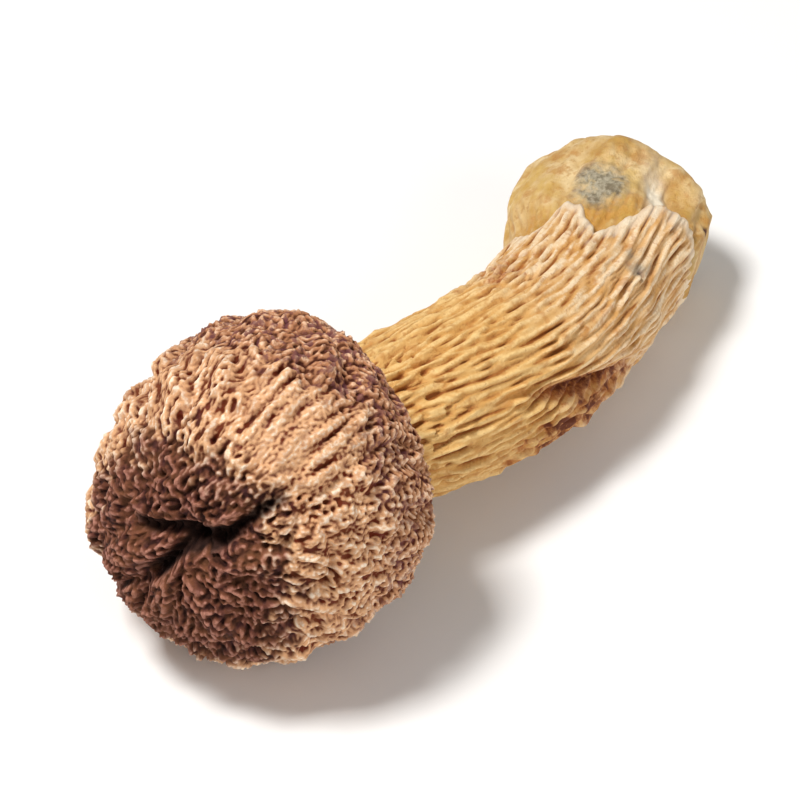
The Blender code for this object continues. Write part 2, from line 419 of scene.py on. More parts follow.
    def broad_grooves(self, angle: Array, radius: Array, along: Array) -> Array:
        """The solid's net of broad grooves.

        Args:
            angle: angles round the axis.
            radius: distances from the axis.
            along: distances from the crown.

        Returns:
            1 along a groove, 0 on the folds between them.
        """
        parts = np.broadcast_arrays(radius * np.cos(angle), radius * np.sin(angle), along * 0.8)
        points = np.stack(parts, axis=-1)
        warp = [cloud(points, 2.2 * self.wrinkle_size, shift) for shift in self.warp_shifts]
        moved = points + np.stack(warp, axis=-1) * 0.6 * self.wrinkle_size
        return 1 - smooth(np.abs(cloud(moved, self.wrinkle_size)) / self.groove_width)

    def stem_ribs(self, angle: Array, along: Array) -> Array:
        """The solid's coarse ribs, which wander a little and join where two come close.

        Args:
            angle: angles round the axis.
            along: distances from the crown.

        Returns:
            Heights between about -0.6 and 1.
        """
        wander = 0.5 * np.sin(along / (9 * MM) + 2 * angle) + 0.35 * np.sin(along / (4.3 * MM) - angle)
        join = 0.5 * np.sin(self.rib_count / 3 * angle + along / (13 * MM))
        rib = np.cos(self.rib_count * angle + 1.4 * wander + 1.6 * join)
        strength = 0.75 + 0.25 * np.sin(3 * angle + along / (11 * MM))
        return strength * (1 - np.abs(rib) * 1.6)

    def stem_fold(self, angle: Array, along: Array) -> Array:
        """The deep fold low on the stem's near side.

        Args:
            angle: angles round the axis.
            along: distances from the crown.

        Returns:
            1 in the middle of the fold, 0 away from it.
        """
        twist = self.fold_twist_degrees * (along - self.fold_middle) / MM
        aside = turn_from(angle, np.radians(self.fold_degrees + twist))
        width = math.radians(self.fold_width_degrees)
        return bump(aside, width) * bump(along - self.fold_middle, self.fold_length)

    def torn_edge(self, angle: Array) -> Array:
        """How far from the crown the ribbed skin ends, torn unevenly, above the smooth foot.

        Args:
            angle: angles round the axis.

        Returns:
            A distance for each angle.
        """
        wave = np.sin(3 * angle + 0.7) + 0.5 * np.sin(7 * angle - 1.0) + 0.3 * np.sin(11 * angle)
        slant = np.cos(angle - math.radians(self.edge_furthest_degrees))
        return self.skin_edge + self.edge_slant * slant + self.edge_wave * wave

    def foot_lumps(self, angle: Array, along: Array) -> Array:
        """Two blunt folds and a shallow hollow on the foot.

        Args:
            angle: angles round the axis.
            along: distances from the crown.

        Returns:
            How far out each point is moved.
        """
        broad, narrow = self.foot_fold_heights
        folds = broad * np.cos(2 * angle - 0.5) + narrow * np.cos(5 * angle + along / (5 * MM))
        hollow = bump(turn_from(angle, 2.2), 0.5) * bump(along - self.foot_middle, 4 * MM)
        lumps = 0.7 * folds - self.foot_hollow_depth * hollow
        return smooth((along - self.skin_edge) / (4 * MM)) * lumps


# Wrinkles


@dataclass(frozen=True)
class Wrinkles:
    """Wrinkles of one size, and where on the surface they grow."""

    wavelength: float
    stretch: float = 1.0
    share: Array | float = 1.0


@dataclass
class RingGrid:
    """Rings of points round an axis, on which wrinkles grow."""

    radius: Array
    spacing: float
    columns: int
    through_pole: bool = False

    def blurred(self, values: Array, across: float, along: float) -> Array:
        """Values blurred by a Gaussian.

        Args:
            values: a value for each (ring, column).
            across: the Gaussian's width round the rings, in metres.
            along: its width from ring to ring, in metres.

        Returns:
            The blurred values.
        """
        turns = np.arange(self.columns // 2 + 1)
        spectrum = np.fft.rfft(values, axis=1)
        spectrum *= np.exp(-0.5 * (across * turns[None, :] / self.radius[:, None]) ** 2)
        values = np.fft.irfft(spectrum, n=self.columns, axis=1)
        margin = min(len(values), int(4 * along / self.spacing) + 1)
        head, tail = values[:margin][::-1], values[-margin:][::-1]
        if self.through_pole:
            head = np.roll(head, self.columns // 2, axis=1)
        wide = np.concatenate([head, values, tail])
        waves = 2 * math.pi * np.fft.rfftfreq(len(wide), self.spacing)
        spectrum = np.fft.rfft(wide, axis=0) * np.exp(-0.5 * (along * waves[:, None]) ** 2)
        return np.fft.irfft(spectrum, n=len(wide), axis=0)[margin : margin + len(values)]

    def grown(self, kinds: Sequence[Wrinkles], seed: int, unrest: float = 0.6, rounds: int = 14) -> Array:
        """Wrinkles grown out of random values.

        Args:
            kinds: the sizes of wrinkle and their shares of the surface.
            seed: the seed of the random values.
            unrest: above 0 for wrinkles of uneven width and length.
            rounds: how often the values are sharpened. Few rounds leave short, uneven wrinkles.

        Returns:
            Heights between -1 in the grooves and 1 on the ridges.
        """
        random = np.random.default_rng(seed)
        values = random.normal(size=(len(self.radius), self.columns))
        width = kinds[0].wavelength / 4
        uneven = self.blurred(random.normal(size=values.shape), width, width)
        uneven *= unrest / uneven.std()
        for _ in range(rounds):
            sharpened = np.zeros_like(values)
            for kind in kinds:
                inner = kind.wavelength / 5.72
                near = self.blurred(values, inner, inner * kind.stretch)
                far = self.blurred(values, 1.6 * inner, inner * max(1.6, kind.stretch))
                sharpened += kind.share * (near - far)
            values = np.tanh(8 * sharpened + uneven)
        return np.clip(sharpened / np.quantile(np.abs(sharpened), 0.97), -1, 1)


def pleated(heights: Array, fullness: Array | float = 0.55) -> Array:
    """Heights with full round ridges. The lower the fullness, the narrower the grooves."""
    return 2 * ((heights + 1) / 2) ** fullness - 1


# Meshes


def cut_evenly(section: Iterable[tuple[float, float]], spacing: float) -> tuple[Array, ...]:
    """Cuts a half section into even steps.

    Args:
        section: close points of the half section, as (radius, along).
        spacing: the length of a step, in metres.

    Returns:
        The radius and the distance along the axis at each step, and the way out there in the same terms.
    """
    line = np.array(list(section))
    run = np.concatenate([[0.0], np.cumsum(np.hypot(*np.diff(line, axis=0).T))])
    steps = np.linspace(0, run[-1], int(round(run[-1] / spacing)) + 1)[1:]
    radius = np.interp(steps, run, line[:, 0])
    along = np.interp(steps, run, line[:, 1])
    outwards = np.stack([np.gradient(along, steps), -np.gradient(radius, steps)])
    outwards /= np.linalg.norm(outwards, axis=0)
    return radius, along, outwards[0], outwards[1]


def signed_volume(mesh: bpy.types.Mesh) -> float:
    """The volume inside a closed mesh.

    Args:
        mesh: the mesh.

    Returns:
        The volume, below zero where the faces point inwards.
    """
    mesh.calc_loop_triangles()
    corners = np.empty(len(mesh.loop_triangles) * 3, int)
    mesh.loop_triangles.foreach_get("vertices", corners)
    places = np.empty(len(mesh.vertices) * 3)
    mesh.vertices.foreach_get("co", places)
    a, b, c = places.reshape(-1, 3)[corners.reshape(-1, 3)].transpose(1, 0, 2)
    return float(np.einsum("ij,ij->i", a, np.cross(b, c)).sum() / 6)


def closed_piece(
    name: str, rings: Array, first: Array, last: Array, values: dict[Value, Array] | None = None
) -> Object:
    """A closed surface of rings between two poles.

    Args:
        name: the piece's name.
        rings: points, as (ring, column, xyz).
        first: the pole before the first ring.
        last: the pole after the last ring.
        values: what the points carry, as (ring, column) arrays. Rings past a last row carry the same.

    Returns:
        The object, linked to the scene, with its faces pointing outwards.
    """
    count, columns = rings.shape[:2]
    points = np.concatenate([rings.reshape(-1, 3), first[None], last[None]])
    here = np.arange(count * columns).reshape(count, columns)
    beside = np.roll(here, -1, axis=1)
    quads = np.stack([here[:-1], here[1:], beside[1:], beside[:-1]], axis=-1).reshape(-1, 4)
    faces = quads.tolist()
    faces += [(count * columns, a, b) for a, b in zip(here[0].tolist(), beside[0].tolist())]
    faces += [(b, a, count * columns + 1) for a, b in zip(here[-1].tolist(), beside[-1].tolist())]
    mesh = bpy.data.meshes.new(name)
    mesh.from_pydata(points.tolist(), [], faces)
    if signed_volume(mesh) < 0:
        mesh.flip_normals()
    mesh.shade_smooth()
    for value, field in (values or {}).items():
        attribute = mesh.attributes.new(value.value, "FLOAT", "POINT")
        field = field[np.minimum(np.arange(count), len(field) - 1)]
        ends = [field[0].mean(), field[-1].mean()]
        attribute.data.foreach_set("value", np.concatenate([field.ravel(), ends]).astype(np.float32))
    return linked(name, mesh)


def linked(name: str, data: Any) -> Object:
    """A new object, linked to the scene.

    Args:
        name: the object's name.
        data: its mesh, light or camera.

    Returns:
        The object.
    """
    made = bpy.data.objects.new(name, data)
    bpy.context.scene.collection.objects.link(made)
    return made


def dress(piece: Object, material: bpy.types.Material) -> None:
    """Gives a piece its material, hangs it on the body that it rides on and hides the solid that it stands
    for.

    Args:
        piece: the finished piece.
        material: its material.
    """
    piece.data.materials.clear()
    piece.data.materials.append(material)
    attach(piece, BODY)
    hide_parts(NODE)
    triangles = sum(len(face.vertices) - 2 for face in piece.data.polygons)
    log.info("%s: %d triangles", piece.name, triangles)


# Node trees


def linear(code: str) -> tuple[float, float, float, float]:
    """Turns a colour into the linear values that shaders take.

    Args:
        code: the colour, as sRGB hex.

    Returns:
        Red, green, blue and an opacity of 1.
    """
    parts = [int(code[start : start + 2], 16) / 255 for start in (1, 3, 5)]
    turned = [part / 12.92 if part <= 0.04045 else ((part + 0.055) / 1.055) ** 2.4 for part in parts]
    return (*turned, 1.0)


def add(tree: Tree, kind: str, *inputs: Any, out: str | None = None, **settings: Any) -> Socket:
    """Adds a node to a tree, with its settings and links.

    Args:
        tree: the tree.
        kind: the node's type.
        *inputs: for each of the node's live inputs in order, the socket that feeds it, its value, a
            colour as sRGB hex, or None where it stays as it is.
        out: the name of the output that is wanted, where it isn't the first live one.
        **settings: the node's own settings.

    Returns:
        The node's output.
    """
    made = tree.nodes.new(kind)
    for key, setting in settings.items():
        setattr(made, key, setting)
    for socket, given in zip([socket for socket in made.inputs if socket.enabled], inputs):
        if isinstance(given, Socket):
            tree.links.new(given, socket)
        elif isinstance(given, str) and given.startswith("#"):
            socket.default_value = linear(given)
        elif given is not None:
            socket.default_value = given
    if out is not None:
        return made.outputs[out]
    return next(socket for socket in made.outputs if socket.enabled)


ATTRIBUTE = "ShaderNodeAttribute"
BUMP = "ShaderNodeBump"
COMBINE = "ShaderNodeCombineXYZ"
MATH = "ShaderNodeMath"
MIX = "ShaderNodeMix"
NOISE = "ShaderNodeTexNoise"
RANDOM = "FunctionNodeRandomValue"
RANGE = "ShaderNodeMapRange"
SEPARATE = "ShaderNodeSeparateXYZ"
SET_POSITION = "GeometryNodeSetPosition"
VECTOR = "ShaderNodeVectorMath"
COLOURS = {"data_type": "RGBA"}
SMOOTHLY = {"interpolation_type": "SMOOTHSTEP"}
TIMES = {"operation": "MULTIPLY"}

Noises = tuple[tuple[float, int, float], ...]
Sockets = Sequence[Socket]
Paint = tuple[Socket, list[tuple[Socket, Any]], Socket]


@dataclass(frozen=True)
class Finish:
    """What the materials have in common.

    It reads values that the points carry, and noises, each given by its size, detail and roughness.
    """

    name: str
    roughness: float
    specular: float
    reads: tuple[Value, ...]
    noises: Noises
    relief_depth: float = 0.09 * MM

    def build(self) -> bpy.types.Material:
        """Builds the material: its colour and fine relief come from paint.

        Returns:
            The material.
        """
        material = bpy.data.materials.new(self.name)
        material.use_nodes = True
        tree = material.node_tree
        shader = tree.nodes["Principled BSDF"]
        place = add(tree, "ShaderNodeTexCoord", out="Object")
        reads = [add(tree, ATTRIBUTE, attribute_name=value.value, out="Fac") for value in self.reads]
        noises = [add(tree, NOISE, place, 1 / size, detail, rough) for size, detail, rough in self.noises]
        colour, layers, height = self.paint(tree, reads, noises)
        for share, over in layers:
            colour = add(tree, MIX, share, colour, over, **COLOURS)
        tree.links.new(colour, shader.inputs["Base Color"])
        normal = add(tree, BUMP, 1.0, self.relief_depth, None, height)
        tree.links.new(normal, shader.inputs["Normal"])
        shader.inputs["Roughness"].default_value = self.roughness
        shader.inputs["Specular IOR Level"].default_value = self.specular
        return material

    def paint(self, tree: Tree, reads: Sockets, noises: Sockets) -> Paint:
        """Builds the nodes of the colour and of the fine relief.

        Args:
            tree: the material's tree.
            reads: the values that the points carry.
            noises: the noises.

        Returns:
            The lowest colour, the shares and colours of the layers over it, and the height.
        """
        raise NotImplementedError


@dataclass(frozen=True)
class CapFinish(Finish):
    """Dried cap skin, matte: mauve-brown where the skin is whole, tan flesh where it has split.

    Each zone has three colours: in the grooves, partly the skin's own and partly painted shade, on the
    slopes, and on the ridges, partly the skin's own and partly painted highlight.
    """

    name: str = "dried_cap_skin"
    roughness: float = 0.8
    specular: float = 0.22
    reads: tuple[Value, ...] = (Value.RELIEF, Value.SKIN, Value.MARGIN, Value.PIT_AND_CREASE_SHADE)
    noises: Noises = (
        (2.5 * MM, 3, 0.6),
        (1.1 * MM, 3, 0.6),
        (0.6 * MM, 2, 0.6),
        (0.3 * MM, 2, 0.6),
        (0.14 * MM, 1, 0.5),
    )
    # Groove colours are partly the skin's own and partly painted shade; ridge colours are partly the skin's
    # own and partly painted highlight.
    crown: tuple[str, str, str] = ("#2a0b02", "#643827", "#b07a68")
    band: tuple[str, str, str] = ("#611d00", "#e1ae81", "#feecd3")
    margin: tuple[str, str, str] = ("#421606", "#b47c58", "#edc4a2")
    fleck: str = "#6b3d42"
    patch: str = "#9a6440"
    # Near black: painted shade in the pit and its creases.
    hollow: str = "#1a0702"

    def paint(self, tree: Tree, reads: Sockets, noises: Sockets) -> Paint:
        """Dark grooves, partly painted shade, pale ridges, partly painted highlight, painted shade in the
        pit and its creases, and flecks of violet-brown skin. See Finish.
        """
        relief, skin, margin, hollow = reads
        patches, flecks, tips, grain, finest = noises
        uneven = add(tree, MATH, relief, add(tree, RANGE, grain, 0.3, 0.7, -0.1, 0.1))
        zone = self.band
        for share, other in ((skin, self.crown), (margin, self.margin)):
            zone = [add(tree, MIX, share, under, over, **COLOURS) for under, over in zip(zone, other)]
        # The groove colour is partly painted shade, and the ridge colour is partly painted highlight.
        groove, slope, ridge_and_highlight = zone
        raised = add(tree, RANGE, uneven, -0.45, 0.32, 0, 1, **SMOOTHLY)
        ridge_tops_and_highlight = add(tree, RANGE, uneven, 0.25, 0.85, 0, 1, **SMOOTHLY)
        fleck_most = add(tree, RANGE, margin, 0, 1, 0.2, 0.8)
        layers = [
            (add(tree, MATH, ridge_tops_and_highlight, add(tree, RANGE, tips, 0.35, 0.65, 0.4, 1.1), **TIMES), ridge_and_highlight),
            (add(tree, RANGE, flecks, 0.5, 0.6, 0, fleck_most, **SMOOTHLY), self.fleck),
            (add(tree, RANGE, patches, 0.4, 0.7, 0, 0.3, **SMOOTHLY), self.patch),
            # Painted shade in the pit and its creases.
            (add(tree, RANGE, hollow, 0.3, 0.8, 0, 0.93, **SMOOTHLY), self.hollow),
        ]
        colour = add(tree, MIX, raised, groove, slope, **COLOURS)
        return colour, layers, add(tree, MATH, grain, finest)


@dataclass(frozen=True)
class GillFinish(Finish):
    """Dried gills, dull and dark brown from the spores."""

    name: str = "dried_gills"
    roughness: float = 0.9
    specular: float = 0.2
    reads: tuple[Value, ...] = ()
    noises: Noises = ((1.2 * MM, 3, 0.6),)
    browns: tuple[str, str] = ("#22100a", "#57321f")

    def paint(self, tree: Tree, reads: Sockets, noises: Sockets) -> Paint:
        """Uneven chocolate brown. See Finish."""
        shade = add(tree, RANGE, noises[0], 0.3, 0.7, 0, 1, **SMOOTHLY)
        return add(tree, MIX, shade, *self.browns, **COLOURS), [], noises[0]


@dataclass(frozen=True)
class StemFinish(Finish):
    """Dried stem skin, matte: cream to straw-coloured ribs with orange-brown grooves.

    Slopes and ridges have two colours: under the cap and on the paler half. The groove colour is partly the
    skin's own and partly painted shade, the ridge colours partly the skin's own and partly painted
    highlight.
    """

    name: str = "dried_stem_skin"
    roughness: float = 0.74
    specular: float = 0.4
    reads: tuple[Value, ...] = (Value.RELIEF, Value.CREAM, Value.FOLD, Value.EDGE, Value.PATCH)
    noises: Noises = (
        (4 * MM, 3, 0.6),
        (1.8 * MM, 2, 0.5),
        (0.8 * MM, 2, 0.6),
        (0.3 * MM, 2, 0.6),
        (0.16 * MM, 1, 0.5),
    )
    # Partly the skin's own colour, partly painted shade in the grooves.
    groove: str = "#925319"
    slopes: tuple[str, str] = ("#d6a864", "#dab17c")
    # The ridge colours are partly painted highlight.
    ridges: tuple[str, str] = ("#efcc8c", "#f4dfbd")
    golden: str = "#cb944c"
    spot: str = "#b87a38"
    speck: str = "#b0702c"
    torn: str = "#ecdfc8"
    # Scorched and burnt browns: the scorched skin's own colour, and partly painted shade down the fold and
    # in the hole.
    scorched: str = "#a65a20"
    burnt_and_fold_shade: str = "#5c2206"
    soil: str = "#8f8c80"

    def paint(self, tree: Tree, reads: Sockets, noises: Sockets) -> Paint:
        """Pale ribs lightened partly as painted highlight, warm grooves darkened partly as painted shade, a
        reddish fold and hole darkened partly as painted shade, scorched skin, a whitish torn edge and grey
        soil. See Finish.
        """
        relief, cream, fold, edge, patch = reads
        patches, spots, tips, grain, finest = noises
        uneven = add(tree, MATH, relief, add(tree, RANGE, grain, 0.3, 0.7, -0.12, 0.12))
        # The groove colour is partly painted shade, and the ridge colour is partly painted highlight.
        raised = add(tree, RANGE, uneven, -0.65, 0.2, 0, 1, **SMOOTHLY)
        ridge_tops_and_highlight = add(tree, RANGE, uneven, 0.2, 0.9, 0, 1, **SMOOTHLY)
        golden = add(tree, RANGE, patches, 0.35, 0.65, 0, 0.8, **SMOOTHLY)
        slope = add(tree, MIX, cream, *self.slopes, **COLOURS)
        slope = add(tree, MIX, golden, slope, self.golden, **COLOURS)
        ridge_and_highlight = add(tree, MIX, cream, *self.ridges, **COLOURS)
        # Darkest down the fold's middle and in the hole, partly as painted shade, and on the scorched skin.
        scorched = add(tree, MATH, fold, add(tree, RANGE, tips, 0.3, 0.7, 0.5, 1.3), **TIMES)
        layers = [
            (add(tree, MATH, ridge_tops_and_highlight, add(tree, RANGE, tips, 0.3, 0.7, 0.3, 1.1), **TIMES), ridge_and_highlight),
            (add(tree, RANGE, spots, 0.54, 0.7, 0, 0.55, **SMOOTHLY), self.spot),
            (add(tree, RANGE, tips, 0.57, 0.72, 0, 0.5, **SMOOTHLY), self.speck),
            (add(tree, RANGE, edge, 0.2, 0.95, 0, 0.6, **SMOOTHLY), self.torn),
            (add(tree, RANGE, scorched, 0.15, 0.6, 0, 0.8, **SMOOTHLY), self.scorched),
            (add(tree, RANGE, scorched, 0.4, 0.9, 0, 0.92, **SMOOTHLY), self.burnt_and_fold_shade),
            (add(tree, RANGE, patch, 0.3, 0.9, 0, 0.6, **SMOOTHLY), self.soil),
        ]
        colour = add(tree, MIX, raised, self.groove, slope, **COLOURS)
        return colour, layers, add(tree, MATH, grain, finest)


@dataclass(frozen=True)
class FootFinish(Finish):
    """Dried foot flesh: smooth, slightly waxy and yellow, with a grey stain of soil."""

    name: str = "dried_foot_flesh"
    roughness: float = 0.62
    specular: float = 0.45
    reads: tuple[Value, ...] = (
        Value.RELIEF,
        Value.PATCH,
        Value.HOLE,
        Value.CUT,
        Value.EDGE,
        Value.CREAM,
    )
    noises: Noises = (
        (4 * MM, 3, 0.6),
        (2.2 * MM, 3, 0.65),
        (0.8 * MM, 3, 0.6),
        (5.5 * MM, 4, 0.65),
        (0.35 * MM, 2, 0.6),
        (0.16 * MM, 1, 0.5),
    )
    flesh: tuple[str, str] = ("#c0964f", "#e4c997")
    spot: str = "#b98440"
    speck: str = "#a8742f"
    yellow: str = "#cba44c"
    # Orange-brown in the fibre grooves: partly the flesh's own colour, partly painted shade.
    groove: str = "#a8713a"
    tawny: str = "#c08b38"
    cut: str = "#c48d55"
    cut_share: float = 0.35
    streak: str = "#efe3cc"
    soil: tuple[str, str] = ("#5f5d50", "#a5a08e")
    # Dark brown: painted shade inside the holes.
    hole: str = "#4b240d"

    def paint(self, tree: Tree, reads: Sockets, noises: Sockets) -> Paint:
        """Yellow flesh, tawny below the torn skin, fibre grooves darkened partly as painted shade, a
        whitish streak, a dull stain and holes painted dark as shade. See Finish.
        """
        relief, patch, hole, cut, edge, cream = reads
        broad, spots, specks, yellow, grain, finest = noises
        soil = add(tree, MIX, add(tree, RANGE, specks, 0.4, 0.6, 0, 1), *self.soil, **COLOURS)
        ragged = add(tree, RANGE, spots, 0.3, 0.7, 0.5, 1.5)
        stain = add(tree, MATH, patch, ragged, **TIMES)
        streak = add(tree, MATH, cream, ragged, **TIMES)
        tawny = add(tree, MATH, edge, add(tree, RANGE, specks, 0.3, 0.65, 0.5, 1.4), **TIMES)
        # How much groove colour, partly painted shade, the fibre grooves take: most below the torn skin.
        groove_most = add(tree, RANGE, edge, 0, 1, 0.12, 0.6)
        layers = [
            (add(tree, RANGE, spots, 0.48, 0.66, 0, 0.75, **SMOOTHLY), self.spot),
            (add(tree, RANGE, specks, 0.55, 0.7, 0, 0.5, **SMOOTHLY), self.speck),
            (add(tree, RANGE, yellow, 0.45, 0.65, 0, 0.6, **SMOOTHLY), self.yellow),
            (add(tree, RANGE, relief, -1, 0.1, groove_most, 0), self.groove),
            (add(tree, RANGE, tawny, 0.35, 1.15, 0, 0.65, **SMOOTHLY), self.tawny),
            (add(tree, MATH, cut, self.cut_share, **TIMES), self.cut),
            (add(tree, RANGE, streak, 0, 0.65), self.streak),
            (add(tree, RANGE, stain, 0.3, 0.8, 0, 0.85), soil),
            # Painted shade inside the holes.
            (add(tree, RANGE, hole, 0.1, 0.8, 0, 1, **SMOOTHLY), self.hole),
        ]
        colour = add(tree, MIX, add(tree, RANGE, broad, 0.35, 0.65), *self.flesh, **COLOURS)
        return colour, layers, add(tree, MATH, grain, finest)


# Sub-assemblies


@dataclass
class Cap:
    """The wrinkled cap skin, from the crown to the inside of the rolled rim, in three closed pieces."""

    form: Form
    columns: int = 720
    spacing: float = 0.16 * MM
    groove_depth: float = 0.8 * MM
    fine_wrinkle: float = 0.92 * MM
    coarse_wrinkle: float = 1.6 * MM
    split_wrinkle: float = 1.7 * MM
    wrinkle_height: float = 0.4 * MM
    margin_wrinkle_height: float = 0.28 * MM
    crumple_wrinkle: float = 0.62 * MM
    crumple_height: float = 0.1 * MM
    fold_wrinkle: float = 2.7 * MM
    fold_height: float = 0.24 * MM
    lump_wrinkle: float = 5.0 * MM
    lump_height: float = 0.3 * MM
    ragged_sizes: tuple[float, float] = (3.2 * MM, 1.3 * MM)
    dark_middle: tuple[float, float, float] = (0.7 * MM, -3.8 * MM, 0.0)
    dark_radius: float = 15.4 * MM
    dark_raggedness: float = 2.8 * MM
    split_middle: tuple[float, float, float] = (-7.6 * MM, 15.0 * MM, 10.4 * MM)
    split_radius: float = 7.6 * MM
    split_raggedness: float = 2.0 * MM
    split_fade: float = 3.0 * MM
    zone_fade: float = 5.0 * MM
    margin_start: float = 25.6 * MM
    margin_rise: float = 2.6 * MM
    margin_raggedness: float = 3.0 * MM
    violet_degrees: float = 90
    violet_width: float = 0.8
    rim_start: float = 36.0 * MM
    rim_fade: float = 4.0 * MM
    seams: tuple[float, float] = (15.0 * MM, 28.0 * MM)
    seam_depths: tuple[float, ...] = (0.03 * MM, 0.1 * MM, 0.3 * MM)
    pole_depth: float = 1.0 * MM
    back: float = 20.0 * MM

    def section(self) -> list[tuple[float, float]]:
        """Close points of the half section: dome, cheek and rolled rim.

        Returns:
            The points, as (radius, along).
        """
        form = self.form
        points = []
        for turn in np.linspace(0, math.pi / 2, 200):
            points.append((form.cap_radius * math.sin(turn), form.crown_height * (1 - math.cos(turn))))
        inward = form.cap_radius - form.rim_radius
        for turn in np.linspace(0, math.pi / 2, 100)[1:]:
            radius = form.cap_radius - inward * (1 - math.cos(turn))
            points.append((radius, form.crown_height + form.cheek_height * math.sin(turn)))
        for turn in np.linspace(0, math.pi, 60)[1:]:
            radius = form.rim_radius - form.lip_radius * (1 - math.cos(turn))
            points.append((radius, form.cap_height + form.lip_radius * math.sin(turn)))
        return points

    def violet(self, turn: Array) -> Array:
        """How near each angle is to the side where the margin is broadest and most violet."""
        return bump(turn_from(turn, math.radians(self.violet_degrees)), self.violet_width)

    def zones(self, plain: Array, run: Array) -> tuple[Array, Array, Array]:
        """Where the skin is dark, where it has split and where the margin is.

        Args:
            plain: the points of the smooth cap round a straight axis.
            run: how far each ring is from the crown, along the skin.

        Returns:
            The depth inside the dark zone as a share, and the shares of split skin and of the margin.
        """
        broad, narrow = self.ragged_sizes
        ragged = cloud(plain, broad, (5.1, 0, 0)) + 0.85 * cloud(plain, narrow, (0, 7.7, 0))
        reach = np.linalg.norm(plain - np.array(self.dark_middle), axis=-1)
        skin = 0.5 - (reach + self.dark_raggedness * ragged - self.dark_radius) / self.zone_fade
        start = self.margin_start - self.margin_rise * self.violet(np.arctan2(plain[..., 1], plain[..., 0]))
        margin = smooth((run + self.margin_raggedness * ragged - start) / self.zone_fade + 0.5)
        from_split = np.linalg.norm(plain - np.array(self.split_middle), axis=-1)
        past_split = from_split + self.split_raggedness * ragged - self.split_radius
        split = 1 - smooth(past_split / self.split_fade + 0.5)
        return skin, split * (1 - margin), margin

    def wrinkles(
        self, grid: RingGrid, plain: Array, skin: Array, split: Array, margin: Array
    ) -> tuple[Array, ...]:
        """Grows the wrinkles: fine and coarse by patches, long on the split skin, fine at the margin.

        Args:
            grid: the rings on which they grow.
            plain: the points of the smooth cap round a straight axis.
            skin: the share of dark skin.
            split: the share of split skin.
            margin: the share of the margin.

        Returns:
            The wrinkles, the folds and the crumpling, each between -1 and 1, and how strong they are.
        """
        patchy = np.maximum(smooth(0.5 + 1.3 * cloud(plain, 3.6 * MM, (2.2, 4.4, 0))), 0.85 * skin)
        whole = (1 - split) * (1 - margin)
        kinds = (
            Wrinkles(self.fine_wrinkle, 1.0, margin + whole * patchy),
            Wrinkles(self.coarse_wrinkle, 1.25, whole * (1 - patchy) + split),
        )
        fullness = between(0.5, 0.78, np.maximum(skin, margin))
        fine = pleated(grid.grown(kinds, seed=11, unrest=0.9, rounds=6), fullness)
        plates = grid.grown((Wrinkles(self.split_wrinkle, 2.8),), seed=19, unrest=0.8, rounds=9)
        fine = between(fine, pleated(plates, 0.38), split)
        folds = pleated(grid.grown((Wrinkles(self.fold_wrinkle, 1.3),), seed=2, unrest=0.9, rounds=7), 0.6)
        crumple = grid.grown((Wrinkles(self.crumple_wrinkle, 1.2),), seed=7, unrest=0.9, rounds=2)
        strength = np.clip(0.9 + 0.9 * cloud(plain, 2.3 * MM, (0, 0, 6.1)) + 0.35 * split, 0.45, 1.5)
        return fine, folds, crumple, strength

    def surface(self) -> tuple[tuple[Array, ...], dict[Value, Array]]:
        """Works out the whole skin.

        Returns:
            The turn, radius, distance along the axis, height and way out of the points, and what they
            carry.
        """
        form = self.form
        parts = (part[:, None] for part in cut_evenly(self.section(), self.spacing))
        radius, along, out_radius, out_along = parts
        run = np.arange(1, len(radius) + 1)[:, None] * self.spacing
        turn = around(self.columns)
        flat = np.broadcast_arrays(radius * np.cos(turn), radius * np.sin(turn), along)
        plain = np.stack(flat, axis=-1)
        skin, split, margin = self.zones(plain, run)
        grid = RingGrid(np.maximum(radius[:, 0], 0.3 * MM), self.spacing, self.columns, through_pole=True)
        fine, folds, crumple, strength = self.wrinkles(grid, plain, smooth(skin), split, margin)
        lumps = grid.grown((Wrinkles(self.lump_wrinkle, 1.2),), seed=5, unrest=0.9)

        depth = form.sunken_crown(turn, radius) * (1 - smooth(along / form.cap_height * 2))
        before_rim = 1 - smooth((run - self.rim_start) / self.rim_fade)
        broad = form.broad_grooves(turn, radius, along) - 0.4
        grooves = broad * smooth(radius / (2.5 * MM)) * before_rim * between(1, 0.4, split)
        swelling = self.lump_height * lumps
        swelling = swelling + self.fold_height * folds * between(1, 0.4, np.maximum(split, margin))
        swelling = swelling * before_rim * smooth(radius / (3.5 * MM))
        height = between(self.wrinkle_height, self.margin_wrinkle_height, margin)
        small = (height * fine + self.crumple_height * crumple * (1 - 0.75 * split)) * strength
        small = small * smooth(radius / (1.2 * MM)) * between(0.35, 1.0, before_rim)
        out = form.cap_lumps(turn, along) - depth - self.groove_depth * grooves + swelling + small
        # The relief picks the colours: grooves partly painted shade, ridges partly painted highlight; lined
        # widens the dark groove colour on the split skin.
        lined = 1 - np.maximum(smooth(skin), margin)
        relief = 0.75 * fine + 0.38 * crumple + 0.35 * (folds - 0.2) * (1 - split) - 0.19 * lined
        values = {
            Value.RELIEF: relief,
            Value.SKIN: smooth(skin - 0.35 * fine - 0.15 * crumple),
            Value.MARGIN: margin * (0.6 + 0.75 * self.violet(turn)),
            # How deep the pit and creases are, for their painted shade.
            Value.PIT_AND_CREASE_SHADE: np.clip(depth / (3.0 * MM) - 0.25 * broad, 0, 1),
        }
        return (turn, radius, along, out, out_radius, out_along), values

